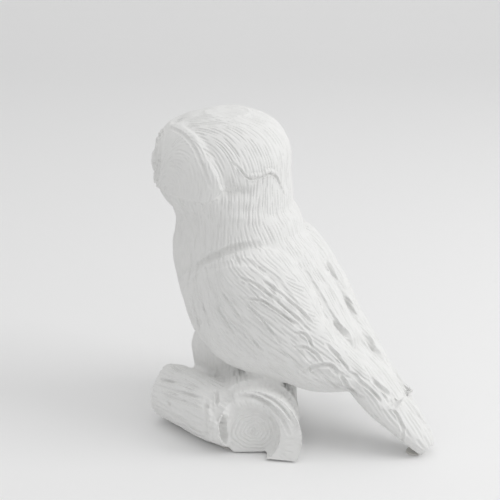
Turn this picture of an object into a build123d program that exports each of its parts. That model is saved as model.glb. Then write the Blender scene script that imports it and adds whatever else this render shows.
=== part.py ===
"""White bisque owl perched on a cut log: a luted ceramic figurine built from its separate castings.

The owl looks along -Y with its head turned to its left, its left side is +X and +Z is up.  The
origin lies on the table under the bird, on the lower face of the felt base.  The large castings are
hollow, and every joint is registered by a spigot, a peg or a seat that follows its neighbour.
All sizes are in millimetres.
"""

import os
from math import cos, radians, sin

from build123d import *

os.makedirs("parts", exist_ok=True)

# Driving dimensions
WALL = 6.0  # thickness of the slip castings
GAP = 0.15  # room left round each spigot, peg and tenon for the slip
FELT = 1.2  # thickness of the felt base and the tail pad

# Body: level ovals from the rump to the neck, as (height, centre y, half width, half depth)
TORSO_SECTIONS = [
    (46, 32, 20, 36),
    (52, 28, 29, 49),
    (62, 22, 38, 60),
    (75, 15, 44, 64),
    (93, 5, 47, 62.5),
    (119, -9, 48, 56),
    (140, -14, 48, 50.5),
    (166, -17.5, 46.5, 46.5),
]
# Mantle: the fuller back that fills the body up between the wings, in the same terms
MANTLE_SECTIONS = [
    (48, 46, 20, 54),
    (60, 40, 30, 57),
    (70, 32, 35, 57),
    (82, 23, 38, 56),
    (96, 13, 40, 56),
    (111, 4, 41, 55),
    (125, -3, 42, 52.5),
    (139, -8, 43, 49),
    (152, -12, 44, 46),
]
NECK_HEIGHT = 166.0
NECK_Y = -17.5
SPIGOT_RADIUS = 30.0
SPIGOT_BORE = 24.0
SPIGOT_DEPTH = 10.0

# Head: level ovals above the neck, their centres measured from the neck's axis
HEAD_TURN = 22.0  # degrees towards the owl's left
HEAD_SECTIONS = [
    (166, 0, 46.5, 46.5),
    (173, -4, 47, 47),
    (182, -7.5, 48.5, 50),
    (194, -8.5, 50, 50),
    (206, -8, 49.5, 49.5),
    (217, -7.5, 46, 46.5),
    (227, -7, 39, 40),
    (234, -6.5, 29, 29.5),
    (238.5, -6, 16, 16),
]

# Face: a mask that stands proud of the head, its outline seen from the side as (y, height)
MASK_THICKNESS = 3.2
MASK_FRONT = 60.0  # the mask is planed flat this far ahead of the neck's axis
MASK_OUTLINE = [
    (-70, 226),
    (-52, 228),
    (-36, 233),
    (-23, 229),
    (-14, 217),
    (-6, 204),
    (0, 191),
    (-8, 185),
    (-34, 184.5),
    (-70, 186),
]
EYE_RADIUS = 7.0
EYE_SPREAD = 15.0
EYE_HEIGHT = 206.0
EYE_SEAT = 51.5  # how far ahead of the neck's axis each eye is seated
EYE_FRONT = 54.5
EYE_BULGE = 3.2
DISH_RADIUS = 26.0
DISH_SPREAD = 16.0
DISH_FLOOR = 54.5  # how far ahead of the neck's axis the dish round each eye is cut
BEAK_HEIGHT = 199.0
BEAK_SECTIONS = [  # (height above its middle, how far ahead of the neck's axis, half width, half depth)
    (7, 57.5, 2.4, 2.2),
    (3, 57.5, 4.0, 3.6),
    (-3, 57.3, 4.2, 4.6),
    (-8, 57.5, 3.0, 3.8),
    (-13, 57.5, 1.2, 1.6),
]

# Wing: stations from the shoulder to the tip, as the upper edge, the swell and the lower edge of
# the owl's left wing, then how thick the upper and the lower edges are
WING_STATIONS = [
    ((34, -35, 115), (40, -35, 99), (34, -28, 86), 3.0, 3.0),
    ((41, -21, 133), (53, -21, 102), (41, -13, 68), 6.0, 4.0),
    ((43, 3, 146), (59, 3, 103), (42, 6, 58), 5.0, 5.0),
    ((33, 23, 149), (57, 27, 104), (40, 28, 53), 4.0, 5.0),
    ((18, 42, 139), (50, 48, 97), (36, 46, 50), 3.2, 5.0),
    ((17, 62, 111), (42, 66, 80), (32, 61, 46), 3.2, 4.5),
    ((14, 82, 82), (31, 86, 66), (25, 81, 46), 3.2, 4.0),
    ((9, 102, 60), (18, 104, 55), (17, 101, 46), 2.8, 3.0),
    ((5, 128, 44.5), (11.9, 125.5, 40.5), (14, 121.5, 33.5), 2.2, 2.2),
]
WING_PEG = (5, 104)  # y and height of the peg that hangs the wing on the body
WING_PEG_RADIUS = 5.0

# Tail: stations from the rump to the tip, as (distance from the tip, half width, lowest, highest)
TAIL_TIP = (0, 143, 2.2)
TAIL_SLOPE = 43.0
TAIL_STATIONS = [
    (96, 22, -13, 9),
    (69, 24, -18, 10),
    (41, 21.5, -16, 9),
    (27, 18, -14.5, 7.5),
    (12, 13.5, -13, 5),
    (0, 8, -9, 2.8),
]
TAIL_PEG_RADIUS = 6.0

# Legs: feathered thighs standing on the log, as (height, centre y, half width, half depth)
LEG_SPREAD = 18.0
LEG_SECTIONS = [
    (30, -17, 13.5, 25),
    (44, -14, 15.5, 30),
    (58, -12, 17, 33),
    (70, -8, 17, 32),
]
LEG_PEG_Y = -10.0
LEG_PEG_RADIUS = 5.5
LEG_VENT_RADIUS = 2.5
LEG_PEG_TOP = 68.0
LEG_PEG_FOOT = {"left": 36.0, "right": 44.0}
TOE_RADIUS = 4.6
TOE_PITCH = 8.6

# Log, in its own axes: across it towards the tail, and along it out of the cut end
LOG_TURN = 120.0  # the cut end points this many degrees round from the owl's front
LOG_HALF_WIDTH = 31.5
LOG_HALF_HEIGHT = 29.0
LOG_MIDDLE = (0.5, 25.0)
LOG_BACK = -57.0
LOG_SHOULDER = 58.0
LOG_FACE = 71.0
RING_MIDDLE = (-4.4, 20.0)
RING_HALF_WIDTH = 21.5
RING_HALF_HEIGHT = 22.5
DRAIN_RADIUS = 8.0
COLLAR_HALF_WIDTH = 35.5
COLLAR_HALF_HEIGHT = 36.0
COLLAR_MIDDLE = (-1.0, 17.5)
COLLAR_HIGH = 69.0  # how far along the log the bark reaches at the top
COLLAR_SLANT = 14.0  # degrees by which it runs forward towards its foot

# Side branch, from inside the log to its cut stub
BRANCH_ROOT = Vector(59, 10, 22.5)
BRANCH_END = Vector(39, -56, 21.5)
BRANCH_ROOT_RADIUS = 23.0
BRANCH_END_RADIUS = 21.0
TENON_RADIUS = 8.0

# Felt: the pad under the log and its branch, and the one under the tail
FELT_LOG_WIDTH = 32.0
FELT_LOG_LENGTH = 110.0
FELT_LOG_MIDDLE = -4.0  # along the log, against its own direction
FELT_BRANCH_WIDTH = 12.0
TAIL_PAD_Y = 135.0

LOG_OUT = Vector(sin(radians(LOG_TURN)), -cos(radians(LOG_TURN)), 0)
LOG_ACROSS = Vector(cos(radians(LOG_TURN)), sin(radians(LOG_TURN)), 0)


def log_plane(along):
    """The log's cross-section at a distance along it: x across the log, y up."""
    return Plane(LOG_OUT * along, x_dir=LOG_ACROSS, z_dir=LOG_OUT)


def head_plane(height=0.0):
    """A level plane on the neck's axis, turned with the head so that it faces along -y."""
    turn = radians(HEAD_TURN)
    return Plane((0, NECK_Y, height), x_dir=(cos(turn), sin(turn), 0), z_dir=(0, 0, 1))


def face_plane(across, height, depth):
    """A plane on the face, square to its gaze, at a distance ahead of the neck's axis."""
    frame = head_plane()
    origin = frame.from_local_coords(Vector(across, -depth, height))
    return Plane(origin, x_dir=frame.x_dir, z_dir=-frame.y_dir)


def ovals(sections, plane, grow=0.0):
    """A loft through level ovals on a plane's axis, each grown by the same amount."""
    with BuildPart() as form:
        for height, centre, half_width, half_depth in sections:
            with BuildSketch(plane.offset(height)):
                with Locations((0, centre)):
                    Ellipse(half_width + grow, half_depth + grow)
        loft()
    return form.part


def log_run(start, end, middle, half_width, half_height, shrink=0.0):
    """An oval bar along the log, drawn in a little at its start."""
    with BuildPart() as bar:
        for along, less in ((start, shrink), (end, 0.0)):
            with BuildSketch(log_plane(along)):
                with Locations(middle):
                    Ellipse(half_width - less, half_height - less)
        loft()
    return bar.part


def rod(start, end, radius):
    """A round rod between two points."""
    start = Vector(*start)
    axis = Vector(*end) - start
    with BuildPart() as bar:
        with BuildSketch(Plane(start, z_dir=axis.normalized())):
            Circle(radius)
        extrude(amount=axis.length)
    return bar.part


torso_form = ovals(TORSO_SECTIONS, Plane.XY)
mantle_form = ovals(MANTLE_SECTIONS, Plane.XY)
torso_core = ovals(TORSO_SECTIONS[1:-1] + [(160, -17, 46.5, 46.8)], Plane.XY, -WALL)
head_form = ovals(HEAD_SECTIONS, head_plane())
head_core = ovals([(177, -6, 47.5, 48.5)] + HEAD_SECTIONS[2:-1], head_plane(), -WALL)
head_shell = ovals(HEAD_SECTIONS, head_plane(), MASK_THICKNESS)

# Tail: one slab that slopes from the rump to the table, cut level where it meets its pad
slope = radians(TAIL_SLOPE)
TAIL_UP_ALONG = Vector(0, -cos(slope), sin(slope))
with BuildPart() as tail_blank:
    for distance, half_width, low, high in TAIL_STATIONS:
        station = Vector(*TAIL_TIP) + TAIL_UP_ALONG * distance
        with BuildSketch(Plane(station, x_dir=(1, 0, 0), z_dir=-TAIL_UP_ALONG)):
            with Locations((0, (low + high) / 2)):
                Ellipse(half_width, (high - low) / 2)
    loft()
    split(bisect_by=Plane.XY.offset(FELT), keep=Keep.TOP)
tail_peg = rod(
    Vector(*TAIL_TIP) + TAIL_UP_ALONG * 70,
    Vector(*TAIL_TIP) + TAIL_UP_ALONG * 93,
    TAIL_PEG_RADIUS,
)
tail_socket = rod(
    Vector(*TAIL_TIP) + TAIL_UP_ALONG * 70,
    Vector(*TAIL_TIP) + TAIL_UP_ALONG * 96,
    TAIL_PEG_RADIUS + GAP,
)
with BuildPart() as tail:
    add(tail_blank.part)
    add(torso_form, mode=Mode.SUBTRACT)
    add(tail_peg)
tail.part.label = "tail"
export_step(tail.part, "parts/tail.step")


def wing_blade(side):
    """A wing before its seat is cut, on the owl's left (1) or right (-1), lofted through stations."""
    with BuildPart() as blade:
        for upper, swell, lower, upper_edge, lower_edge in WING_STATIONS:
            top, middle, foot = [Vector(side * x, y, z) for x, y, z in (upper, swell, lower)]
            chord = top - foot
            normal = chord.cross(middle - foot).normalized()
            section = Plane((top + foot) / 2, x_dir=chord, z_dir=normal)
            half = chord.length / 2
            peak = section.to_local_coords(middle)
            with BuildSketch(section):
                with BuildLine():
                    Spline(
                        (-half, 0),
                        (-half * 0.97, lower_edge),
                        (peak.X, peak.Y),
                        (half * 0.97, upper_edge),
                        (half, 0),
                    )
                    Line((half, 0), (-half, 0))
                make_face()
        loft()
    return blade.part


# Log: an oval bar with a flat underside and a stepped end that carries the rings and the bark
log_bar = log_run(LOG_BACK, LOG_SHOULDER, LOG_MIDDLE, LOG_HALF_WIDTH, LOG_HALF_HEIGHT, 2.5)
log_hollow = log_run(
    LOG_BACK + WALL,
    LOG_SHOULDER - WALL,
    LOG_MIDDLE,
    LOG_HALF_WIDTH - WALL,
    LOG_HALF_HEIGHT - WALL,
    2.5,
)
ringed_end = log_run(LOG_SHOULDER - 2, LOG_FACE, RING_MIDDLE, RING_HALF_WIDTH, RING_HALF_HEIGHT)
branch_axis = (BRANCH_END - BRANCH_ROOT).normalized()
with BuildPart() as log_blank:
    add(log_bar)
    add(ringed_end)
    split(bisect_by=Plane.XY.offset(FELT), keep=Keep.TOP)

# Wings: a blade each, seated on the body and on the tail, with a peg at the shoulder
wing_peg_y, wing_peg_z = WING_PEG
wings = []
for side, name in ((1, "left_wing"), (-1, "right_wing")):
    with BuildPart() as wing:
        add(wing_blade(side))
        add(torso_form, mode=Mode.SUBTRACT)
        add(tail_blank.part, mode=Mode.SUBTRACT)
        add(log_blank.part, mode=Mode.SUBTRACT)
        add(
            rod(
                (side * 41, wing_peg_y, wing_peg_z),
                (side * 50, wing_peg_y, wing_peg_z),
                WING_PEG_RADIUS,
            )
        )
    wings.append(wing.part)
    wing.part.label = name
    export_step(wing.part, f"parts/{name}.step")

# Torso: a hollow casting with a neck spigot and sockets for the wings, the tail and the legs
with BuildPart() as torso:
    add(mantle_form)
    add(wings, mode=Mode.SUBTRACT)
    add(tail_blank.part, mode=Mode.SUBTRACT)
    add(torso_form)
    add(rod((0, NECK_Y, NECK_HEIGHT), (0, NECK_Y, NECK_HEIGHT + SPIGOT_DEPTH), SPIGOT_RADIUS))
    add(torso_core, mode=Mode.SUBTRACT)
    add(
        rod((0, NECK_Y, 158), (0, NECK_Y, NECK_HEIGHT + SPIGOT_DEPTH), SPIGOT_BORE),
        mode=Mode.SUBTRACT,
    )
    for side in (-1, 1):
        add(
            rod(
                (side * 40.5, wing_peg_y, wing_peg_z),
                (side * 60, wing_peg_y, wing_peg_z),
                WING_PEG_RADIUS + GAP,
            ),
            mode=Mode.SUBTRACT,
        )
        add(
            rod(
                (side * LEG_SPREAD, LEG_PEG_Y, 40),
                (side * LEG_SPREAD, LEG_PEG_Y, LEG_PEG_TOP + 0.5),
                LEG_PEG_RADIUS + GAP,
            ),
            mode=Mode.SUBTRACT,
        )
    add(tail_socket, mode=Mode.SUBTRACT)
    add(log_blank.part, mode=Mode.SUBTRACT)
torso.part.label = "torso"
export_step(torso.part, "parts/torso.step")

# Face mask: a shell over the front of the head, dished round each eye
with BuildPart() as mask_reach:
    with BuildSketch(Plane(head_plane().origin, x_dir=head_plane().y_dir, z_dir=head_plane().x_dir)):
        with BuildLine():
            Polyline(*MASK_OUTLINE, close=True)
        make_face()
    extrude(amount=80, both=True)
with BuildPart() as face_cut:
    with BuildSketch(face_plane(0, EYE_HEIGHT, MASK_FRONT)):
        Rectangle(120, 120)
    extrude(amount=20)
    for side in (-1, 1):
        with Locations(face_plane(side * DISH_SPREAD, EYE_HEIGHT, DISH_FLOOR + DISH_RADIUS)):
            Sphere(DISH_RADIUS)
        with BuildSketch(face_plane(side * EYE_SPREAD, EYE_HEIGHT, EYE_SEAT)):
            Circle(EYE_RADIUS + GAP)
        extrude(amount=20)
with BuildPart() as facial_disc:
    add(head_shell)
    add(mask_reach.part, mode=Mode.INTERSECT)
    add(head_form, mode=Mode.SUBTRACT)
    add(face_cut.part, mode=Mode.SUBTRACT)
facial_disc.part.label = "facial_disc"
export_step(facial_disc.part, "parts/facial_disc.step")

# Head: a hollow casting that drops over the neck spigot, its face spot-faced under each eye
with BuildPart() as head:
    add(head_form)
    add(head_core, mode=Mode.SUBTRACT)
    add(
        rod((0, NECK_Y, NECK_HEIGHT - 1), (0, NECK_Y, NECK_HEIGHT + 13), SPIGOT_RADIUS + GAP),
        mode=Mode.SUBTRACT,
    )
    add(face_cut.part, mode=Mode.SUBTRACT)
head.part.label = "head"
export_step(head.part, "parts/head.step")

# Eyes: domed buttons seated through the mask
for side, name in ((1, "left_eye"), (-1, "right_eye")):
    with BuildPart() as eye:
        with BuildSketch(face_plane(side * EYE_SPREAD, EYE_HEIGHT, EYE_SEAT)):
            Circle(EYE_RADIUS)
        extrude(amount=EYE_FRONT - EYE_SEAT)
        with BuildSketch(face_plane(side * EYE_SPREAD, EYE_HEIGHT, EYE_FRONT)):
            Circle(EYE_RADIUS)
        extrude(amount=EYE_BULGE, taper=40)
    eye.part.label = name
    export_step(eye.part, f"parts/{name}.step")

# Beak: a hooked wedge between the eyes, its back seated on the mask
with BuildPart() as beak:
    for rise, ahead, half_width, half_depth in BEAK_SECTIONS:
        with BuildSketch(head_plane(BEAK_HEIGHT + rise)):
            with Locations((0, -ahead)):
                Ellipse(half_width, half_depth)
    loft()
    add(facial_disc.part, mode=Mode.SUBTRACT)
    add(head.part, mode=Mode.SUBTRACT)
beak.part.label = "beak"
export_step(beak.part, "parts/beak.step")

# Log: the bar made hollow, with a drain hole and holes for the branch and the legs
with BuildPart() as log:
    add(log_blank.part)
    add(log_hollow, mode=Mode.SUBTRACT)
    add(
        rod(BRANCH_ROOT - branch_axis * 12, BRANCH_ROOT + branch_axis * 28, TENON_RADIUS + GAP),
        mode=Mode.SUBTRACT,
    )
    add(rod((0, 0, 0), (0, 0, 12), DRAIN_RADIUS), mode=Mode.SUBTRACT)
    for side, name in ((1, "left"), (-1, "right")):
        add(
            rod(
                (side * LEG_SPREAD, LEG_PEG_Y, LEG_PEG_FOOT[name] - 1),
                (side * LEG_SPREAD, LEG_PEG_Y, 60),
                LEG_PEG_RADIUS + GAP,
            ),
            mode=Mode.SUBTRACT,
        )
log.part.label = "log"
export_step(log.part, "parts/log.step")

# Side branch: a hollow stub with a flat underside, cut round the ringed end and tenoned in
branch_length = (BRANCH_END - BRANCH_ROOT).length
with BuildPart() as branch_blank:
    for distance, radius in (
        (-12, BRANCH_ROOT_RADIUS - 3),
        (10, BRANCH_ROOT_RADIUS),
        (branch_length - 6, BRANCH_END_RADIUS + 0.5),
        (branch_length, BRANCH_END_RADIUS - 5),
    ):
        with BuildSketch(Plane(BRANCH_ROOT + branch_axis * distance, z_dir=branch_axis)):
            Circle(radius)
    loft(ruled=True)
    split(bisect_by=Plane.XY.offset(FELT), keep=Keep.TOP)
with BuildPart() as branch_stub:
    add(branch_blank.part)
    add(log_blank.part, mode=Mode.SUBTRACT)
    add(
        log_run(LOG_FACE - 1, LOG_FACE + 40, RING_MIDDLE, RING_HALF_WIDTH, RING_HALF_HEIGHT),
        mode=Mode.SUBTRACT,
    )
    add(
        rod(
            BRANCH_ROOT + branch_axis * 34,
            BRANCH_END - branch_axis * WALL,
            BRANCH_END_RADIUS - WALL - 1,
        ),
        mode=Mode.SUBTRACT,
    )
    add(rod(BRANCH_ROOT - branch_axis * 8, BRANCH_ROOT + branch_axis * 28, TENON_RADIUS))
    add(
        rod(BRANCH_ROOT - branch_axis * 9, BRANCH_ROOT + branch_axis * 36, TENON_RADIUS - 4),
        mode=Mode.SUBTRACT,
    )
branch_stub.part.label = "branch_stub"
export_step(branch_stub.part, "parts/branch_stub.step")

# Bark collar: the raised lip of bark round the top and the tail side of the cut end
slant = radians(COLLAR_SLANT)
collar_cut = Plane(
    LOG_OUT * COLLAR_HIGH - LOG_ACROSS * 20 + Vector(0, 0, 50),
    z_dir=LOG_OUT * cos(slant) + (LOG_ACROSS * -0.69 + Vector(0, 0, 0.73)) * sin(slant),
)
with BuildPart() as bark_collar:
    add(log_run(LOG_SHOULDER - 6, 100, COLLAR_MIDDLE, COLLAR_HALF_WIDTH, COLLAR_HALF_HEIGHT, 4.0))
    add(
        log_run(LOG_SHOULDER - 8, 101, RING_MIDDLE, RING_HALF_WIDTH, RING_HALF_HEIGHT),
        mode=Mode.SUBTRACT,
    )
    add(log_blank.part, mode=Mode.SUBTRACT)
    split(bisect_by=collar_cut, keep=Keep.BOTTOM)
    with BuildSketch(log_plane(45)):
        with BuildLine():
            Polyline((-4, 20), (-24, 60), (-60, 60), (-60, -20), (12, -20), close=True)
        make_face()
    extrude(amount=60, mode=Mode.SUBTRACT)
    add(branch_blank.part, mode=Mode.SUBTRACT)
    split(bisect_by=Plane.XY.offset(FELT), keep=Keep.TOP)
bark_collar.part.label = "bark_collar"
export_step(bark_collar.part, "parts/bark_collar.step")

# Feet: three toes each that grip the front of the log, and the heel they spring from
foot_parts = {}
for side, name in ((1, "left"), (-1, "right")):
    along = LOG_OUT.dot(Vector(side * LEG_SPREAD, LEG_PEG_Y - 4, 0))
    with BuildPart() as foot:
        for toe in (-1, 0, 1):
            toe_plane = log_plane(along + toe * TOE_PITCH)
            with BuildLine(toe_plane) as toe_line:
                EllipticalCenterArc(
                    LOG_MIDDLE,
                    LOG_HALF_WIDTH + 2.4,
                    LOG_HALF_HEIGHT + 2.4,
                    start_angle=100,
                    arc_size=68,
                )
            with BuildSketch(Plane(toe_line.line @ 0, z_dir=toe_line.line % 0)):
                Circle(TOE_RADIUS)
            sweep(path=toe_line.line)
            with Locations(toe_line.line @ 1):
                Sphere(TOE_RADIUS)
        heel = Vector(-8, LOG_MIDDLE[1] + LOG_HALF_HEIGHT, 0)
        with Locations(log_plane(along).from_local_coords(heel)):
            Sphere(TOE_PITCH * 1.25)
        add(log_blank.part, mode=Mode.SUBTRACT)
        add(branch_blank.part, mode=Mode.SUBTRACT)
        add(torso_form, mode=Mode.SUBTRACT)
        add(
            rod(
                (side * LEG_SPREAD, LEG_PEG_Y, 30),
                (side * LEG_SPREAD, LEG_PEG_Y, 90),
                LEG_PEG_RADIUS + GAP,
            ),
            mode=Mode.SUBTRACT,
        )
    foot_parts[name] = foot.part
    foot.part.label = f"{name}_foot"
    export_step(foot.part, f"parts/{name}_foot.step")

# Legs: feathered thighs between the body and the log, each on one long peg with an air hole
for side, name in ((1, "left"), (-1, "right")):
    centre = side * LEG_SPREAD
    with BuildPart() as thigh:
        for height, centre_y, half_width, half_depth in LEG_SECTIONS:
            with BuildSketch(Plane.XY.offset(height)):
                with Locations((centre, centre_y)):
                    Ellipse(half_width, half_depth)
        loft()
        add(torso_form, mode=Mode.SUBTRACT)
        add(log_blank.part, mode=Mode.SUBTRACT)
        add(branch_blank.part, mode=Mode.SUBTRACT)
        for foot_part in foot_parts.values():
            add(foot_part, mode=Mode.SUBTRACT)
    with BuildPart() as leg:
        add(thigh.solids().sort_by(SortBy.VOLUME)[-1])
        add(
            rod(
                (centre, LEG_PEG_Y, LEG_PEG_FOOT[name]),
                (centre, LEG_PEG_Y, LEG_PEG_TOP),
                LEG_PEG_RADIUS,
            )
        )
        add(
            rod((centre, LEG_PEG_Y, 30), (centre, LEG_PEG_Y, 90), LEG_VENT_RADIUS),
            mode=Mode.SUBTRACT,
        )
    leg.part.label = f"{name}_leg"
    export_step(leg.part, f"parts/{name}_leg.step")

# Felt: one pad cut to the fork's footprint and a small one under the tip of the tail
branch_foot = Vector(branch_axis.X, branch_axis.Y, 0).normalized()
with BuildPart() as felt_base:
    with BuildSketch(Plane((0, 0, 0), x_dir=LOG_ACROSS, z_dir=(0, 0, 1))):
        with Locations((0, FELT_LOG_MIDDLE)):
            RectangleRounded(FELT_LOG_WIDTH, FELT_LOG_LENGTH, 4)
    extrude(amount=FELT)
    with BuildSketch(Plane((BRANCH_ROOT.X, BRANCH_ROOT.Y, 0), x_dir=branch_foot, z_dir=(0, 0, 1))):
        with Locations((branch_length / 2 - 8, 0)):
            RectangleRounded(branch_length, FELT_BRANCH_WIDTH, 4)
    extrude(amount=FELT)
felt_base.part.label = "felt_base"
export_step(felt_base.part, "parts/felt_base.step")
with BuildPart() as tail_pad:
    with BuildSketch(Plane.XY):
        with Locations((0, TAIL_PAD_Y)):
            Ellipse(7, 6)
    extrude(amount=FELT)
tail_pad.part.label = "tail_pad"
export_step(tail_pad.part, "parts/tail_pad.step")
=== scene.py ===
"""A white bisque owl on a forked log, carved over its packed castings and set on a pale table."""

import math

import bmesh
import bpy
import numpy as np
from mathutils import Matrix, Vector
from mathutils.bvhtree import BVHTree
from mathutils.kdtree import KDTree


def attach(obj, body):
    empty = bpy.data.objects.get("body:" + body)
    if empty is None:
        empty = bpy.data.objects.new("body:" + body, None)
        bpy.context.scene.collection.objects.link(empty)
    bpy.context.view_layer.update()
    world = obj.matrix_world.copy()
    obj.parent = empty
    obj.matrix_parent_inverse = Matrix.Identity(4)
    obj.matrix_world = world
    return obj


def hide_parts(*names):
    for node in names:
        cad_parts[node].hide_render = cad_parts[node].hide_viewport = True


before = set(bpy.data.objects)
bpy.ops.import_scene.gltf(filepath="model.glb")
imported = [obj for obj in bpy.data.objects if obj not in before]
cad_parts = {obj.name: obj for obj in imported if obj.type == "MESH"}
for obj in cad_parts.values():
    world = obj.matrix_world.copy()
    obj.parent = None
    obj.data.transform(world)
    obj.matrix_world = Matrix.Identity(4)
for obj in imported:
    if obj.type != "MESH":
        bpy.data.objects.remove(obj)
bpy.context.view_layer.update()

MM = 0.001
SKIN = 0.00062  # grain of the carved clay
COMB = 1.0
SEEDING = 0.12  # share of the skin's points tried as a stroke's start

LOG_TURN = math.radians(120)
LOG_OUT = np.array((math.sin(LOG_TURN), -math.cos(LOG_TURN), 0.0))
LOG_ACROSS = np.array((math.cos(LOG_TURN), math.sin(LOG_TURN), 0.0))
HEAD_TURN = math.radians(22)
HEAD_SIDE = np.array((math.cos(HEAD_TURN), math.sin(HEAD_TURN), 0.0))
HEAD_BACK = np.array((-math.sin(HEAD_TURN), math.cos(HEAD_TURN), 0.0))
NECK = np.array((0.0, -17.5, 0.0)) * MM
HEAD_MIDDLE = NECK - HEAD_BACK * 9 * MM
UP = np.array((0.0, 0.0, 1.0))

# The rest is in millimetres, unless it is said otherwise
EYE_ASIDE = 15  # from the middle of the face to an eye
EYE_RISE = 206  # from the table to the eyes
FACE_OUT = 57  # from the neck to the front of the face
PITH_RISE = 18.5  # from the table to the pith of the log
RING_GAP = 3.1
RING_DEPTH = 0.42
BACK_CLAY = 4.2  # the most clay that is packed on between the wings
TIP_CLAY = 1.1  # the clay that is added on the tips of the wings
HEM = 1.5  # how far a cut edge is turned in before its piece is closed

CLAY_NODES = (
    "torso",
    "head",
    "facial_disc",
    "left_eye",
    "right_eye",
    "beak",
    "left_wing",
    "right_wing",
    "tail",
    "left_leg",
    "right_leg",
    "left_foot",
    "right_foot",
    "log",
    "branch_stub",
    "bark_collar",
)

# Carved marks, each a width, a depth (negative for a raised ridge) and the places it runs through
# in millimetres.  First those of the head: the crease over the nape and the ruff round the face.
CREASE = (
    0.9,
    1.3,
    ((41, 5, 213), (35, 14, 200), (29, 17, 199), (20, 22, 202), (12, 25, 197), (2, 25, 181)),
)
HEAD_MARKS = (
    (1.5, -1.0, ((35, 14, 203), (28, 18, 202), (20, 22, 205), (12, 25, 200))),
    (
        3.0,
        -0.4,
        ((27, -58, 228), (38, -40, 231), (44, -25, 227), (47, -14, 219), (48, -5, 206), (47, 0, 194)),
    ),
    (1.4, 0.9, ((30, -52, 225), (40, -34, 225), (45, -22, 219), (47, -14, 208), (48, -8, 196))),
)
# Those of a wing: the groove inside its rolled rim, the undercut above it and the long feathers
WING_MARKS = (
    (2.4, 0.6, ((54, -23, 122), (55, -8, 134), (54, 8, 142), (48, 23, 144), (42, 42, 131), (37, 64, 103))),
    (1.2, 1.4, ((56, 19, 133), (53, 27, 131), (47, 44, 118), (43, 55, 108), (38, 66, 96))),
    (1.2, 1.3, ((57, 24, 119), (52, 35, 118), (45, 54, 104), (41, 61, 99))),
    (1.1, 1.2, ((57, 24, 115), (55, 31, 109), (53, 42, 97), (51, 49, 88))),
    (1.1, 1.1, ((59, 14, 101), (58, 24, 95), (55, 37, 81))),
    (1.2, 1.3, ((48, 35, 131), (44, 45, 123), (38, 58, 111), (35, 66, 102))),
    (1.1, 1.1, ((59, -1, 113), (59, 9, 99), (58, 19, 86))),
    (1.1, 1.0, ((59, 4, 122), (59, 14, 111), (58, 22, 101))),
    (1.2, 1.2, ((44, 58, 94), (41, 62, 95), (40, 67, 91), (40, 69, 84))),
    (1.3, 1.2, ((42, 56, 84), (40, 64, 84), (37, 71, 79), (36, 75, 72))),
    (1.8, 1.8, ((41, 62, 66), (36, 70, 70), (31, 80, 70), (29, 84, 64))),
    (1.4, 1.5, ((30, 74, 84), (27, 82, 76), (25, 90, 67))),
    (2.0, 2.2, ((15, 106, 57), (14, 112, 52), (11, 120, 47))),
    (1.5, 1.7, ((31, 88, 64), (28, 92, 54), (25, 97, 47), (21, 103, 46))),
    (1.3, 1.4, ((24, 97, 60), (20, 106, 52), (17, 112, 44))),
    (1.2, 1.2, ((36, 76, 62), (33, 84, 55), (30, 90, 49))),
    (1.3, 1.2, ((50, -25, 108), (50, -18, 94), (49, -14, 84))),
    (1.2, 1.0, ((53, -18, 116), (55, -10, 102), (56, -4, 90))),
)
SHOULDER_CUT = (3.0, 1.4, 0.5)  # width, depth and lip
SHOULDER_SHADOW = ((50, -28, 122), (49, -16, 135), (47, -3, 144), (41, 9, 150), (33, 20, 151))
# Those that only the right wing and the back have: the slots of its folded inner edge
BACK_MARKS = (
    (2.0, 2.2, ((-18, 48, 126), (-18, 52, 121), (-17, 57, 115))),
    (2.8, 2.0, ((-17, 63, 101), (-17, 68, 95), (-15, 74, 89))),
    (2.4, 2.0, ((-12, 86, 78), (-11, 93, 68), (-10, 98, 62))),
    (2.0, 2.2, ((9, 69, 91), (8, 73, 85), (6, 77, 80))),
    (2.4, 1.2, ((14, 44, 132), (12, 58, 112), (10, 74, 90), (8, 90, 72))),
    (1.2, 1.0, ((2, 46, 124), (-2, 58, 108), (-2, 70, 92))),
)
TAIL_MARKS = (
    (1.6, 1.5, ((-1, 117, 38), (-2, 130, 24), (-4, 141, 8))),
    (1.5, 1.4, ((11, 115, 37), (10, 127, 23), (7, 137, 11))),
    (1.4, 1.3, ((18, 112, 35), (16, 122, 23), (13, 131, 12))),
    (1.5, 1.4, ((-10, 115, 36), (-9, 127, 23), (-8, 137, 11))),
    (1.3, 1.2, ((-17, 112, 33), (-15, 123, 21), (-12, 131, 12))),
)
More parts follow.
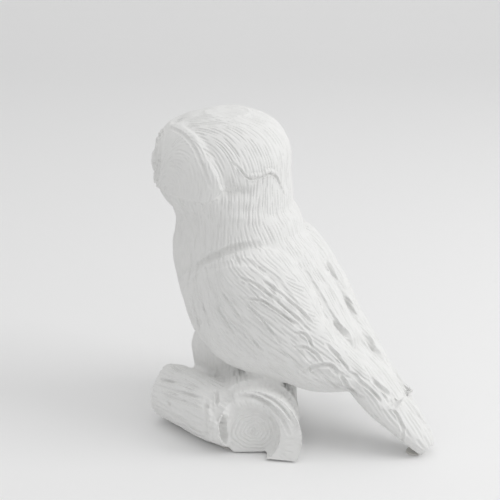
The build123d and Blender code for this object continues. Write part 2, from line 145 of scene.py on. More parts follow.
# Those of the perch: the bark's splits, the crotch of the branch and the knot on top of the stub
PERCH_MARKS = (
    (1.3, 1.4, ((56, -54, 37), (59, -33, 40), (64, -13, 42))),
    (1.3, 1.3, ((59, -54, 33), (65, -28, 36), (71, -5, 39))),
    (1.2, 1.2, ((63, -47, 30), (69, -27, 32), (74, -10, 33))),
    (1.2, 1.2, ((69, -27, 33), (72, -14, 34), (76, -3, 33))),
    (1.2, 1.1, ((66, -44, 18), (71, -24, 17), (77, -3, 15))),
    (1.2, 1.0, ((68, -34, 11), (72, -15, 10), (76, -1, 10))),
    (1.4, 1.4, ((46, -50, 41), (50, -30, 43), (56, -12, 45))),
    (1.6, 2.6, ((63, 2, 46), (68, 6, 43), (73, 9, 38))),
    (4.0, 4.0, ((76, 13, 34), (78, 15, 26), (76, 14, 17), (74, 13, 10))),
    (4.2, -1.5, ((54, 48, 31), (58, 41, 39), (64, 32, 42), (69, 22, 39), (72, 17, 33))),
    (2.4, -1.6, ((74, 2, 40), (80, 7, 30), (80, 8, 18), (76, 5, 8))),
    (1.5, 1.4, ((66, 26, 47), (66, 37, 48), (66, 48, 44), (68, 58, 36), (71, 66, 24))),
    (1.2, 1.1, ((62, 38, 49), (61, 48, 47), (61, 58, 40), (62, 66, 30))),
    (1.3, -1.0, ((64, 30, 49), (64, 42, 48), (63, 54, 42), (64, 63, 33))),
)
# Hollows and swellings, each a place, a reach in three directions and a depth
HOLLOWS = (
    ((43, 5, 190), (6, 8, 4.5), 4.4),
    ((37, 12, 190), (6, 6, 4.0), 2.8),
    ((45, -2, 197), (5, 6, 4.0), 1.4),
    ((24, -54, 231), (3.5, 3.5, 2.5), 1.6),
    ((27, 18, 191), (10, 8, 5.0), 0.9),
    ((30, 17, 209), (14, 12, 7.0), -1.1),
    ((38, 6, 172), (12, 10, 3.5), -1.1),
    ((26, 16, 168), (12, 8, 3.5), -1.0),
    ((51, 13, 146), (2.2, 2.2, 2.0), 1.7),
    ((9, 70, 89), (4, 4, 5), 1.2),
    ((24, 96, 62), (3.0, 3.0, 2.4), 2.2),
    ((43, 65, 74), (5, 5, 3.0), -1.8),
    ((40, 72, 66), (4, 5, 3.0), 1.6),
    ((-18, 68, 96), (4, 5, 5), 1.6),
    ((-10, 93, 68), (4, 4, 4), 1.8),
    ((48, -48, 43), (7, 6, 5), -4.2),
    ((58, -30, 44), (9, 9, 4), -1.2),
    ((68, -37, 25), (1.5, 1.5, 1.5), 2.4),
    ((75, 1, 36), (2.2, 2.2, 2.2), 2.8),
    ((62, 8, 30), (5, 5, 12), 1.0),
    ((52, -26, 92), (4, 5, 5), 1.4),
    ((56, 45, 62), (6, 9, 5), 1.2),
)

# The castings whose luted joints are smoothed over, how far to either side and how much
LUTED_SMOOTH = (
    "torso",
    "head",
    "facial_disc",
    "left_leg",
    "right_leg",
    "tail",
    "log",
    "branch_stub",
    "bark_collar",
)
SEAM_REACH = 7 * MM
SEAM_BLEND = 42 * MM
DRAIN_BUNG = (10, 4, 4.5)  # radius, depth and height of the clay that stops the log's drain
TIP_BLEND = 6 * MM  # how far the thin tips of the wings are rounded
LUTE = 1.0 * MM  # how far the castings are swelled so that their joints close

# How each casting is combed: stroke spacing, length and depth in millimetres
COMBING = {
    "torso": (2.2, 26, 0.62),
    "head": (2.0, 30, 0.68),
    "facial_disc": (2.1, 16, 0.42),
    "left_eye": (3.0, 4, 0.05),
    "right_eye": (3.0, 4, 0.05),
    "beak": (2.4, 6, 0.1),
    "left_wing": (2.3, 34, 0.75),
    "right_wing": (2.3, 34, 0.75),
    "tail": (3.0, 30, 0.75),
    "left_leg": (2.6, 16, 0.5),
    "right_leg": (2.6, 16, 0.5),
    "left_foot": (2.4, 10, 0.25),
    "right_foot": (2.4, 10, 0.25),
    "log": (3.6, 30, 0.7),
    "branch_stub": (3.6, 26, 0.8),
    "bark_collar": (2.6, 7, 0.5),
}


# ---------------------------------------------------------------- numbers on a surface


def unit(rows):
    """Rows scaled to length one."""
    return rows / np.maximum(np.linalg.norm(rows, axis=1, keepdims=True), 1e-12)


def smoothstep(low, high, value):
    """0 below low, 1 above high, an eased ramp between."""
    ramp = np.clip((value - low) / (high - low), 0, 1)
    return ramp * ramp * (3 - 2 * ramp)


def unevenness(points, size, seed):
    """Soft lumps from -1 to 1 whose width is about size."""
    lattice = np.random.default_rng(seed).uniform(-1, 1, (32, 32, 32))
    place = points / size + 100
    cell = np.floor(place).astype(int)
    part = place - cell
    part = part * part * (3 - 2 * part)
    total = np.zeros(len(points))
    for corner in range(8):
        step = np.array(((corner >> 2) & 1, (corner >> 1) & 1, corner & 1))
        index = (cell + step) % 32
        weight = np.prod(np.where(step == 1, part, 1 - part), axis=1)
        total += weight * lattice[index[:, 0], index[:, 1], index[:, 2]]
    return total


def coordinates(mesh):
    """A mesh's vertex positions."""
    flat = np.empty(len(mesh.vertices) * 3)
    mesh.vertices.foreach_get("co", flat)
    return flat.reshape(-1, 3)


def put_coordinates(mesh, points):
    """Moves a mesh's vertices."""
    mesh.vertices.foreach_set("co", points.ravel())
    mesh.update()


def normals(mesh):
    """A mesh's vertex normals."""
    flat = np.empty(len(mesh.vertices) * 3)
    mesh.vertices.foreach_get("normal", flat)
    return flat.reshape(-1, 3)


# ---------------------------------------------------------------- the clay block


def casting_copy(node):
    """A copy of a casting's skin with its loose triangles joined."""
    work = bmesh.new()
    work.from_mesh(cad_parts[node].data)
    bmesh.ops.remove_doubles(work, verts=work.verts, dist=0.01 * MM)
    return work


def packed_clay(node, place):
    """Clay packed on between the folded wings, and the tips of the wings left a little thicker."""
    x, y, z = place / MM
    if node == "torso" and y > 14:
        between = smoothstep(30, 16, abs(x)) * smoothstep(14, 34, y) * smoothstep(50, 66, z)
        return float(BACK_CLAY * MM * between * smoothstep(150, 136, z))
    if node in ("left_wing", "right_wing"):
        return float(TIP_CLAY * MM * smoothstep(88, 104, y))
    return 0.0


def clay_block():
    """All the castings run together into one skin, as the luted clay is before it is carved."""
    whole = bmesh.new()
    for node in CLAY_NODES:
        copy = casting_copy(node)
        copy.normal_update()
        swell = [
            (vertex, vertex.co + vertex.normal * (LUTE + packed_clay(node, vertex.co)))
            for vertex in copy.verts
        ]
        for vertex, place in swell:
            vertex.co = place
        carrier = bpy.data.meshes.new("carrier")
        copy.to_mesh(carrier)
        copy.free()
        whole.from_mesh(carrier)
        bpy.data.meshes.remove(carrier)
    bung = Matrix.Translation(UP * DRAIN_BUNG[2] * MM)
    bmesh.ops.create_cone(
        whole,
        cap_ends=True,
        segments=48,
        radius1=DRAIN_BUNG[0] * MM,
        radius2=DRAIN_BUNG[0] * MM,
        depth=DRAIN_BUNG[1] * MM,
        matrix=bung,
    )
    mesh = bpy.data.meshes.new("clay")
    whole.to_mesh(mesh)
    whole.free()
    block = bpy.data.objects.new("clay", mesh)
    bpy.context.scene.collection.objects.link(block)
    remesh = block.modifiers.new("skin", "REMESH")
    remesh.mode = "VOXEL"
    remesh.voxel_size = SKIN
    depsgraph = bpy.context.evaluated_depsgraph_get()
    skin = bpy.data.meshes.new_from_object(block.evaluated_get(depsgraph))
    bpy.data.objects.remove(block)
    bpy.data.meshes.remove(mesh)
    return outer_skin(skin)


def edge_ends(mesh):
    """The two vertices of every edge."""
    ends = np.empty(len(mesh.edges) * 2, dtype=np.int64)
    mesh.edges.foreach_get("vertices", ends)
    return ends.reshape(-1, 2)


def outer_skin(mesh):
    """Only the largest closed surface of a mesh."""
    ends = edge_ends(mesh)
    label = np.arange(len(mesh.vertices))
    while True:
        low = np.minimum(label[ends[:, 0]], label[ends[:, 1]])
        fresh = label.copy()
        np.minimum.at(fresh, ends[:, 0], low)
        np.minimum.at(fresh, ends[:, 1], low)
        fresh = fresh[fresh]
        if np.array_equal(fresh, label):
            break
        label = fresh
    names, sizes = np.unique(label, return_counts=True)
    keep = names[np.argmax(sizes)]
    work = bmesh.new()
    work.from_mesh(mesh)
    work.verts.ensure_lookup_table()
    loose = [work.verts[i] for i in np.nonzero(label != keep)[0]]
    bmesh.ops.delete(work, geom=loose, context="VERTS")
    work.to_mesh(mesh)
    work.free()
    return mesh


def gather(values, ends, count):
    """The sum of each vertex's neighbours' values."""
    return np.bincount(ends[:, 0], values[ends[:, 1]], minlength=count) + np.bincount(
        ends[:, 1], values[ends[:, 0]], minlength=count
    )


def relax(mesh, passes, strength=0.5):
    """Evens a skin by drawing each vertex towards its neighbours."""
    ends = edge_ends(mesh)
    points = coordinates(mesh)
    count = np.maximum(np.bincount(ends.ravel(), minlength=len(points)), 1)[:, None]
    for _ in range(passes):
        total = np.stack([gather(points[:, axis], ends, len(points)) for axis in range(3)], axis=1)
        points = points + strength * (total / count - points)
    put_coordinates(mesh, points)


def agree(casting, ends, passes):
    """Gives each vertex the casting that most of its neighbours have."""
    for _ in range(passes):
        votes = np.stack(
            [
                gather((casting == number).astype(float), ends, len(casting))
                + 0.5 * (casting == number)
                for number in range(len(CLAY_NODES))
            ]
        )
        casting = votes.argmax(axis=0)
    return casting


def near_seam(points, facing, casting, ends, steps):
    """1 on the luted joints that are smoothed over, falling to 0 a few steps away."""
    soft = np.array([node in LUTED_SMOOTH for node in CLAY_NODES])[casting]
    wings = [CLAY_NODES.index(node) for node in ("left_wing", "right_wing")]
    on_back = (points[:, 1] > 30 * MM) & (points[:, 2] > 52 * MM) & (np.abs(points[:, 0]) < 32 * MM)
    soft |= np.isin(casting, wings) & on_back & (facing[:, 2] > 0.2)
    first, second = ends[:, 0], ends[:, 1]
    crossing = (casting[first] != casting[second]) & soft[first] & soft[second]
    face = CLAY_NODES.index("facial_disc")
    seam = np.zeros(len(casting))
    seam[ends[crossing].ravel()] = 1
    rims = crossing & ((casting[first] == face) | (casting[second] == face))
    wide = np.zeros(len(casting))
    wide[ends[rims].ravel()] = 1
    count = np.maximum(np.bincount(ends.ravel(), minlength=len(casting)), 1)
    for step in range(2 * steps):
        if step < steps:
            seam = np.maximum(seam * 0.97, gather(seam, ends, len(casting)) / count)
        wide = np.maximum(wide * 0.98, gather(wide, ends, len(casting)) / count)
    return np.clip(np.maximum(seam, wide) * 1.8, 0, 1)


def casting_of(points):
    """For each point, the number of the casting in CLAY_NODES whose skin is nearest."""
    corners, faces, owner = [], [], []
    for number, node in enumerate(CLAY_NODES):
        work = casting_copy(node)
        bmesh.ops.triangulate(work, faces=work.faces)
        work.verts.index_update()
        start = len(corners)
        corners.extend(vertex.co.copy() for vertex in work.verts)
        faces.extend([start + vertex.index for vertex in face.verts] for face in work.faces)
        owner.extend([number] * len(work.faces))
        work.free()
    tree = BVHTree.FromPolygons(corners, faces, all_triangles=True)
    owner = np.array(owner)
    return owner[[tree.find_nearest(point)[2] for point in points]]


# ---------------------------------------------------------------- which way the tool went


def combing_direction(points, facing, casting):
    """The direction in which each point of the skin is combed."""
    direction = np.zeros_like(points)
    local = points - HEAD_MIDDLE
    across = local @ HEAD_SIDE
    back = local @ HEAD_BACK / MM
    height = points[:, 2] / MM
    side = np.sign(across)[:, None]
    sweep = (height - 188)[:, None] * HEAD_BACK - np.maximum(back + 42, 8)[:, None] * UP
    fall = np.clip((192 - height) / 14, 0, 1)[:, None]
    head_flow = unit(sweep) * (1 - fall) + fall * (-UP)
    for number, node in enumerate(CLAY_NODES):
        here = casting == number
        if not here.any():
            continue
        if node == "head":
            direction[here] = head_flow[here]
        elif node in ("facial_disc", "beak", "left_eye", "right_eye"):
            eye = HEAD_MIDDLE + side * HEAD_SIDE * EYE_ASIDE * MM - HEAD_BACK * 50 * MM
            eye = eye + UP * EYE_RISE * MM
            cheek = HEAD_MIDDLE - HEAD_BACK * 47 * MM + UP * 196 * MM
            front = np.abs(facing @ HEAD_BACK)[:, None]
            circling = np.cross(HEAD_BACK, points - eye) * side
            arching = np.cross(side * HEAD_SIDE, points - cheek) * side
            direction[here] = (unit(circling) * front + unit(arching) * (1.2 - front))[here]
        elif node == "torso":
            lean = np.clip(points[:, 1] / MM / 30, 0, 1)
            direction[here] = np.stack(
                (np.zeros(len(points)), 0.75 * lean, -np.ones(len(points))), axis=1
            )[here]
        elif node in ("left_wing", "right_wing"):
            reach = smoothstep(-30, 22, points[:, 1] / MM)
            run, drop = 0.08 + 0.70 * reach, -1 + 0.36 * reach
            slant = np.where(np.abs(facing[:, 0]) > 0.25, facing[:, 0], 9.0)
            inward = np.clip(-(run * facing[:, 1] + drop * facing[:, 2]) / slant, -1.5, 1.5)
            direction[here] = np.stack((inward, run, drop), axis=1)[here]
        elif node == "tail":
            direction[here] = (0, 0.731, -0.682)
        elif node in ("left_leg", "right_leg"):
            direction[here] = (0.05, -0.12, -1)
        elif node in ("left_foot", "right_foot"):
            direction[here] = -0.8 * LOG_ACROSS - 0.5 * UP
        elif node == "log":
            direction[here] = LOG_OUT
        elif node == "branch_stub":
            direction[here] = (-0.29, -0.957, 0)
        else:
            pith = 65 * MM * LOG_OUT - 4 * MM * LOG_ACROSS + 18 * MM * UP
            outward = points - pith
            outward = outward - (outward @ LOG_OUT)[:, None] * LOG_OUT
            direction[here] = (unit(outward) * 0.8 - 0.6 * LOG_OUT)[here]
    wander = np.stack([unevenness(points, 14 * MM, 40 + axis) for axis in range(3)], axis=1)
    direction = unit(direction) + 0.16 * wander
    direction -= (direction * facing).sum(axis=1, keepdims=True) * facing
    return unit(direction)


def stroke_paths(points, facing, flow, casting, rng):
    """Evenly spaced strokes that follow the combing, as (position, width, depth) samples."""
    tree = KDTree(len(points))
    places = [Vector(point) for point in points]
    for index, place in enumerate(places):
        tree.insert(place, index)
    tree.balance()
    faced = [Vector(row) for row in facing]
    combed = [Vector(row) for row in flow]
    owner = casting.tolist()
    step = 0.9 * MM
    gaps = [COMBING[node][0] * COMB * MM for node in CLAY_NODES]
    samples, widths, depths = [], [], []
    cells = {}
    grain = 2.4 * MM

    def crowded(place, gap):
        """Whether an earlier stroke already runs within a gap of a place."""
        px, py, pz = place
        limit = gap * gap
        low = (int((px - gap) // grain), int((py - gap) // grain), int((pz - gap) // grain))
        high = (int((px + gap) // grain), int((py + gap) // grain), int((pz + gap) // grain))
        for i in range(low[0], high[0] + 1):
            for j in range(low[1], high[1] + 1):
                for k in range(low[2], high[2] + 1):
                    for x, y, z in cells.get((i, j, k), ()):
                        dx, dy, dz = x - px, y - py, z - pz
                        if dx * dx + dy * dy + dz * dz < limit:
                            return True
        return False

    seeds = rng.permutation(len(points))[: int(len(points) * SEEDING)].tolist()
    for seed in seeds:
        number = owner[seed]
        gap = gaps[number]
        if crowded(places[seed], gap * 0.98):
            continue
        _, reach, bite = COMBING[CLAY_NODES[number]]
        length = reach * rng.uniform(0.45, 1.25) * MM
        path = [places[seed]]
        for way in (step, -step):
            place, index, run = places[seed], seed, 0.0
            while run < length / 2:
                moved = place + way * combed[index]
                index = tree.find(moved)[1]
                moved = moved - (moved - places[index]).dot(faced[index]) * faced[index]
                if crowded(moved, gap * 0.62) or faced[index].dot(faced[seed]) < -0.2:
                    break
                place, run = moved, run + step
                if way > 0:
                    path.append(place)
                else:
                    path.insert(0, place)
        count = len(path)
        if count < 4:
            continue
        width = gap * rng.uniform(0.36, 0.50)
        depth = bite * MM * rng.uniform(0.55, 1.2)
        for order, place in enumerate(path):
            near_end = min(order + 0.6, count - 0.4 - order) / max(3.0, count * 0.22)
            fade = min(1.0, near_end)
            samples.append(place)
            widths.append(width * (0.7 + 0.3 * fade))
            depths.append(depth * fade)
            cell = (int(place.x // grain), int(place.y // grain), int(place.z // grain))
            cells.setdefault(cell, []).append(tuple(place))
    return samples, np.array(widths), np.array(depths)


def comb(points, facing, samples, widths, depths):
    """How far the strokes cut below the skin, with the clay a little raised beside each."""
    tree = KDTree(len(samples))
    for index, place in enumerate(samples):
        tree.insert(place, index)
    tree.balance()
    found = [tree.find(point)[1:] for point in points]
    index = np.array([f[0] for f in found])
    distance = np.array([f[1] for f in found])
    across = distance / widths[index]
    cut = np.clip(1 - across**2, 0, None) ** 1.5
    burr = 0.28 * np.exp(-(((across - 1.35) / 0.4) ** 2))
    return depths[index] * (burr - cut)


# ---------------------------------------------------------------- carved forms


def dent(points, middle, size, depth):
    """A soft oval hollow (or, with a negative depth, a swelling)."""
    near = np.abs(points - np.array(middle) * MM).max(axis=1) < 3.2 * max(size) * MM
    shift = np.zeros(len(points))
    away = (points[near] - np.array(middle) * MM) / (np.array(size) * MM)
    shift[near] = -depth * MM * np.exp(-((away**2).sum(axis=1)))
    return shift


def on_skin(tree, path):
    """A path in millimetres drawn on the skin itself, in short steps."""
    path = np.array(path, dtype=float) * MM
    spots = []
    for start, end in zip(path[:-1], path[1:]):
        steps = max(2, int(np.linalg.norm(end - start) / (1.6 * MM)))
        for part in range(steps):
            spots.append(tree.find(Vector(start + (end - start) * part / steps))[0])
    spots.append(tree.find(Vector(path[-1]))[0])
    spots = np.array(spots)
    for _ in range(3):
        spots[1:-1] = (spots[:-2] + 2 * spots[1:-1] + spots[2:]) / 4
    return spots


def gouge(points, path, width, depth, lip=0.3):
    """A cut along a path, tapered at both ends, with a raised lip on either side."""
    margin = 4 * width * MM
    low, high = path.min(axis=0) - margin, path.max(axis=0) + margin
    near = ((points > low) & (points < high)).all(axis=1)
    spots = points[near]
    nearest = np.full(len(spots), 1e9)
    place = np.zeros(len(spots))
    lengths = np.maximum(np.linalg.norm(np.diff(path, axis=0), axis=1), 1e-6)
    total = lengths.sum()
    run = 0.0
    for start, end, length in zip(path[:-1], path[1:], lengths):
        along = np.clip(((spots - start) @ (end - start)) / length**2, 0, 1)
        distance = np.linalg.norm(spots - (start + along[:, None] * (end - start)), axis=1)
        closer = distance < nearest
        nearest = np.where(closer, distance, nearest)
        place = np.where(closer, (run + along * length) / total, place)
        run += length
    taper = np.clip(np.minimum(place + 0.10, 1.10 - place) / 0.3, 0, 1)
    across = nearest / (width * MM)
    cut = np.clip(1 - across**2, 0, None)
    shift = np.zeros(len(points))
    shift[near] = depth * MM * taper * (lip * np.exp(-(((across - 1.4) / 0.4) ** 2)) - cut)
    return shift


def head_mirrored(path):
    """The same path on the other side of the turned head."""
    spots = np.array(path, dtype=float)
    aside = (spots - HEAD_MIDDLE / MM) @ HEAD_SIDE
    return spots - 2 * aside[:, None] * HEAD_SIDE


def on_face(side, rise):
    """A place on the face: millimetres to the owl's left of its middle, and up from the eyes."""
    return NECK / MM - FACE_OUT * HEAD_BACK + side * HEAD_SIDE + (EYE_RISE + rise) * UP


def ring_round_eye(side, radius, start=0, end=360):
    """Places round an eye, from one angle to another above its outer side."""
    turns = np.radians(np.linspace(start, end, 17))
    return [
        on_face(side * (EYE_ASIDE + radius * math.cos(turn)), radius * math.sin(turn))
        for turn in turns
    ]


def face_marks(points, tree):
    """The grooves round the eyes, the rays of the discs, the brow and the sides of the beak."""
    shift = np.zeros(len(points))
    for side in (-1, 1):
        shift += gouge(points, on_skin(tree, ring_round_eye(side, 7.6)), 1.3, 2.2, 0.35)
        shift += dent(points, on_face(EYE_ASIDE * side, 0), (4.6, 4.6, 4.6), -1.2)
        shift += gouge(points, on_skin(tree, ring_round_eye(side, 12, -60, 150)), 1.3, 1.1, 0.4)
        shift += gouge(points, on_skin(tree, ring_round_eye(side, 16.5, -75, 140)), 1.4, 1.2, 0.4)
        shift += gouge(points, on_skin(tree, ring_round_eye(side, 21, -85, 125)), 1.6, 1.2, 0.5)
        beak = [on_face(5.2 * side, 1), on_face(5.6 * side, -6), on_face(4.2 * side, -14)]
        shift += gouge(points, on_skin(tree, beak), 1.5, 2.4, 0.3)
        brow = [on_face(3 * side, 4), on_face(5 * side, 12), on_face(10 * side, 19)]
        shift += gouge(points, on_skin(tree, brow), 1.6, 1.5, 0.5)
    bill = [on_face(0, 3), on_face(0, -4), on_face(0, -12), on_face(0, -18)]
    shift += gouge(points, on_skin(tree, bill), 3.2, -2.0, 0.2)
    return shift


def carved_marks(points):
    """All the cuts, ridges, hollows and swellings of the owl and its perch."""
    tree = KDTree(len(points))
    for index, point in enumerate(points):
        tree.insert(point, index)
    tree.balance()
    shift = face_marks(points, tree)
    width, depth, path = CREASE
    shift += gouge(points, on_skin(tree, path), width, depth)
    shift += gouge(points, on_skin(tree, head_mirrored(path)), width, depth * 0.7)
    for width, depth, path in HEAD_MARKS:
        shift += gouge(points, on_skin(tree, path), width, depth)
        shift += gouge(points, on_skin(tree, head_mirrored(path)), width, depth)
    for width, depth, path in WING_MARKS:
        shift += gouge(points, on_skin(tree, path), width, depth, 0.45)
        mirrored = [(-x, y + 2, z - 1) for x, y, z in path]
        shift += gouge(points, on_skin(tree, mirrored), width, depth, 0.45)
    for marks in (BACK_MARKS, TAIL_MARKS, PERCH_MARKS):
        for width, depth, path in marks:
            shift += gouge(points, on_skin(tree, path), width, depth, 0.4)
    for side in (-1, 1):
        shoulder = [(side * x, y, z) for x, y, z in SHOULDER_SHADOW]
        shift += gouge(points, on_skin(tree, shoulder), *SHOULDER_CUT)
    for place, size, depth in HOLLOWS:
        spot = np.array(tree.find(Vector(place) * MM)[0]) / MM
        shift += dent(points, spot, size, depth)
    return shift


def end_rings(points, facing):
    """Growth rings cut round the pith on the log's sawn end."""
    local = points - PITH_RISE * MM * UP
    across = local @ LOG_ACROSS / MM + 1.4
    rise = local @ UP / MM
    radius = np.hypot(across * 1.02, rise * 1.12)
    angle = np.arctan2(rise, across)
    radius = radius + 0.5 * np.sin(3 * angle + 1) + 0.35 * np.sin(7 * angle)
    radius = radius + 0.5 * unevenness(points, 6 * MM, 71)
    rings = np.cos(radius * 2 * math.pi / RING_GAP)
    flat = smoothstep(0.8, 0.95, facing @ LOG_OUT) * (points @ LOG_OUT > 66 * MM)
    flat = flat * smoothstep(21, 17, radius)
    return RING_DEPTH * MM * rings * flat, flat


# ---------------------------------------------------------------- carving the owl


def carve(mesh):
    """Shapes and combs the clay block, and says which casting each face belongs to."""
    relax(mesh, 2)
    points = coordinates(mesh) - LUTE * normals(mesh)
    put_coordinates(mesh, points)
    casting = casting_of(points)
    ends = edge_ends(mesh)
    casting = agree(casting, ends, 8)
    seam = near_seam(points, normals(mesh), casting, ends, int(round(SEAM_REACH / SKIN)))
    relax(mesh, int(round((SEAM_BLEND / SKIN) ** 2 / 60)), 0.6 * seam[:, None])
    wings = [CLAY_NODES.index(node) for node in ("left_wing", "right_wing")]
    thin = smoothstep(102, 112, points[:, 1] / MM) * np.isin(casting, wings)
    relax(mesh, int(round((TIP_BLEND / SKIN) ** 2 / 4)), 0.5 * thin[:, None])
    relax(mesh, 3)
    points = coordinates(mesh)
    facing = normals(mesh)

    form = 0.7 * MM * unevenness(points, 17 * MM, 5) + 0.3 * MM * unevenness(points, 7 * MM, 6)
    height = points[:, 2] / MM
    rings, sawn = end_rings(points, facing)
    form = form * (1 - 0.8 * sawn)
    form += carved_marks(points) * (1 - sawn) * (1 - 0.85 * thin)
    form = form * smoothstep(1.5, 6, height)
    points = points + form[:, None] * facing
    put_coordinates(mesh, points)
    facing = normals(mesh)

    rng = np.random.default_rng(11)
    flow = combing_direction(points, facing, casting)
    samples, widths, depths = stroke_paths(points, facing, flow, casting, rng)
    strokes = comb(points, facing, samples, widths, depths)
    below = smoothstep(1.4, 3.0, height)
    strokes = strokes * (1 - sawn) * below * (1 - 0.5 * thin)
    points = points + (strokes + rings)[:, None] * facing
    put_coordinates(mesh, points)
    return casting


def face_castings(mesh, casting):
    """The casting that each four-sided face of the skin belongs to."""
    corners = np.empty(len(mesh.polygons) * 4, dtype=np.int64)
    mesh.polygons.foreach_get("vertices", corners)
    owner = casting[corners.reshape(-1, 4)]
    first = (owner[:, 0] == owner[:, 1]) | (owner[:, 0] == owner[:, 2]) | (owner[:, 0] == owner[:, 3])
    second = (owner[:, 1] == owner[:, 2]) | (owner[:, 1] == owner[:, 3])
    return np.where(first, owner[:, 0], np.where(second, owner[:, 1], owner[:, 2]))


def closed_piece(piece, heart):
    """Closes a piece of skin on its hidden side, towards a point inside the clay."""
    work = bmesh.new()
    work.from_mesh(piece.data)
    loose = [vertex for vertex in work.verts if not vertex.link_faces]
    bmesh.ops.delete(work, geom=loose, context="VERTS")
    rim = [edge for edge in work.edges if edge.is_boundary]
    if heart is None:
        heart = sum((vertex.co for vertex in work.verts), Vector()) / len(work.verts)
    if rim:
        work.normal_update()
        for edge in rim:
            edge.smooth = False
        hems = {vertex: vertex.normal.copy() for edge in rim for vertex in edge.verts}
        places = {tuple(vertex.co): normal for vertex, normal in hems.items()}
        grown = bmesh.ops.extrude_edge_only(work, edges=rim)["geom"]
        hem = [item for item in grown if isinstance(item, bmesh.types.BMVert)]
        turned = [item for item in grown if isinstance(item, bmesh.types.BMEdge)]
        for vertex in hem:
            vertex.co = vertex.co - places[tuple(vertex.co)] * HEM * MM
        grown = bmesh.ops.extrude_edge_only(work, edges=turned)["geom"]
        inner = [item for item in grown if isinstance(item, bmesh.types.BMVert)]
        bmesh.ops.pointmerge(work, verts=inner, merge_co=heart)
    for face in work.faces:
        face.smooth = True
    bmesh.ops.recalc_face_normals(work, faces=work.faces)
    work.to_mesh(piece.data)
    work.free()


def carved_owl(clay):
    """Every visible piece of the owl and its perch, cut from one carved skin."""
    skin = clay_block()
    casting = carve(skin)
    for node in CLAY_NODES:
        marker = bpy.data.materials.new(f"part_{node}")
        skin.materials.append(marker)
    skin.polygons.foreach_set("material_index", face_castings(skin, casting))
    whole = bpy.data.objects.new("carved", skin)
    bpy.context.scene.collection.objects.link(whole)
    bpy.ops.object.select_all(action="DESELECT")
    whole.select_set(True)
    bpy.context.view_layer.objects.active = whole
    bpy.ops.object.mode_set(mode="EDIT")
    bpy.ops.mesh.select_all(action="SELECT")
    bpy.ops.mesh.separate(type="MATERIAL")
    bpy.ops.object.mode_set(mode="OBJECT")
    hearts = {
        "bark_collar": Vector(LOG_OUT * 50 * MM + UP * 22 * MM),
        "left_wing": Vector((14, 34, 92)) * MM,
        "right_wing": Vector((-14, 34, 92)) * MM,
    }
    for piece in list(bpy.context.selected_objects):
        used = piece.data.polygons[0].material_index
        node = piece.data.materials[used].name.removeprefix("part_")
        piece.name = piece.data.name = f"carved_{node}"
        piece.data.materials.clear()
        piece.data.materials.append(clay)
        flat = np.zeros(len(piece.data.polygons), dtype=np.int32)
        piece.data.polygons.foreach_set("material_index", flat)
        closed_piece(piece, hearts.get(node))
        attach(piece, "root")
        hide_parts(node)
    for node in CLAY_NODES:
        bpy.data.materials.remove(bpy.data.materials[f"part_{node}"])


def felt_pad(node, felt):
    """A felt pad with its cut edges softened."""
    work = casting_copy(node)
    bmesh.ops.dissolve_limit(
        work, angle_limit=math.radians(4), verts=work.verts, edges=work.edges
    )
    sharp = [edge for edge in work.edges if edge.calc_face_angle(0) > 0.8]
    bmesh.ops.bevel(
        work,
        geom=sharp,
        offset=0.25 * MM,
        segments=2,
        profile=0.5,
        affect="EDGES",
        material=-1,
    )
    mesh = bpy.data.meshes.new(f"soft_{node}")
    work.to_mesh(mesh)
    work.free()
    piece = bpy.data.objects.new(f"soft_{node}", mesh)
    bpy.context.scene.collection.objects.link(piece)
    mesh.materials.append(felt)
    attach(piece, "root")
    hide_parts(node)


# ---------------------------------------------------------------- finishes


def new_material(name, colour, roughness):
    """A material and its shader."""
    material = bpy.data.materials.new(name)
    material.use_nodes = True
    shader = material.node_tree.nodes["Principled BSDF"]
    shader.inputs["Base Color"].default_value = (*colour, 1)
    shader.inputs["Roughness"].default_value = roughness
    return material, shader


def bisque_material():
    """Unglazed white clay: chalky, with a fine bumped grain."""
    material, shader = new_material("white_bisque", (0.81, 0.81, 0.80), 0.92)
    shader.inputs["Specular IOR Level"].default_value = 0.2
    nodes, links = material.node_tree.nodes, material.node_tree.links
    place = nodes.new("ShaderNodeTexCoord")
    grain = nodes.new("ShaderNodeTexNoise")
    grain.inputs["Scale"].default_value = 900
    grain.inputs["Detail"].default_value = 4
    links.new(place.outputs["Object"], grain.inputs["Vector"])
    bump = nodes.new("ShaderNodeBump")
    bump.inputs["Strength"].default_value = 0.25
    bump.inputs["Distance"].default_value = 0.0003
    links.new(grain.outputs["Fac"], bump.inputs["Height"])
    links.new(bump.outputs["Normal"], shader.inputs["Normal"])
    return material


def felt_material():
    """Pale grey wool felt."""
    material, shader = new_material("pale_felt", (0.62, 0.61, 0.58), 0.95)
    shader.inputs["Sheen Weight"].default_value = 0.3
    return material


# ---------------------------------------------------------------- table, light and camera


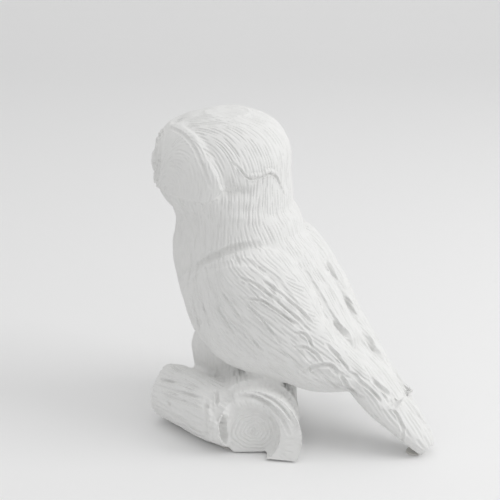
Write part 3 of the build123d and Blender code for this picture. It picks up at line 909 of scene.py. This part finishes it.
def table_and_wall():
    """A seamless pale sweep: the table runs back and curves up into the wall."""
    toward = Vector((0.866, 0.5, 0))
    work = bmesh.new()
    profile = [(1.6, 0.0), (-1.2, 0.0)]
    profile += [
        (-1.2 - 0.8 * math.sin(math.radians(a)), 0.8 - 0.8 * math.cos(math.radians(a)))
        for a in range(6, 91, 6)
    ]
    profile += [(-2.0, 2.6)]
    side = Vector((-0.5, 0.866, 0))
    line = [work.verts.new(toward * d + Vector((0, 0, z)) - side * 3) for d, z in profile]
    edges = [work.edges.new(pair) for pair in zip(line[:-1], line[1:])]
    moved = bmesh.ops.extrude_edge_only(work, edges=edges)["geom"]
    bmesh.ops.translate(
        work, vec=side * 6, verts=[item for item in moved if isinstance(item, bmesh.types.BMVert)]
    )
    for face in work.faces:
        face.smooth = True
    bmesh.ops.recalc_face_normals(work, faces=work.faces)
    mesh = bpy.data.meshes.new("sweep")
    work.to_mesh(mesh)
    work.free()
    sweep = bpy.data.objects.new("sweep", mesh)
    bpy.context.scene.collection.objects.link(sweep)
    material, shader = new_material("pale_table", (0.88, 0.88, 0.88), 0.9)
    mesh.materials.append(material)


def soft_light(name, place, aim, size, power):
    """A square studio light at a place, aimed at a point."""
    data = bpy.data.lights.new(name, "AREA")
    data.shape = "SQUARE"
    data.size = size
    data.energy = power
    lamp = bpy.data.objects.new(name, data)
    lamp.location = place
    lamp.rotation_euler = (Vector(aim) - Vector(place)).to_track_quat("-Z", "Y").to_euler()
    bpy.context.scene.collection.objects.link(lamp)


def studio():
    """Even white light, a broad key from the tail's side and the camera over the owl's shoulder."""
    scene = bpy.context.scene
    scene.view_settings.view_transform = "Standard"
    world = bpy.data.worlds.new("studio")
    world.use_nodes = True
    world.node_tree.nodes["Background"].inputs["Color"].default_value = (1, 1, 1, 1)
    world.node_tree.nodes["Background"].inputs["Strength"].default_value = 0.62
    scene.world = world
    right = Vector((-0.5, 0.866, 0))
    toward = Vector((0.866, 0.5, 0))
    aim = (0, 0, 0.1)
    soft_light("key", right * 1.3 + toward * 0.25 + Vector((0, 0, 1.0)), aim, 0.9, 8.5)
    soft_light("top", toward * 0.1 + Vector((0, 0, 1.7)), aim, 1.8, 5.5)
    camera = bpy.data.objects.new("camera", bpy.data.cameras.new("camera"))
    camera.data.lens = 100
    azimuth, elevation = math.radians(120), math.radians(20)
    gaze = Vector(
        (
            math.sin(azimuth) * math.cos(elevation),
            -math.cos(azimuth) * math.cos(elevation),
            math.sin(elevation),
        )
    )
    target = Vector((2.2, -3.8, 133.4)) * MM
    camera.location = target + gaze * 1.042
    camera.rotation_euler = (-gaze).to_track_quat("-Z", "Y").to_euler()
    scene.collection.objects.link(camera)
    scene.camera = camera


carved_owl(bisque_material())
felt = felt_material()
felt_pad("felt_base", felt)
felt_pad("tail_pad", felt)
table_and_wall()
studio()
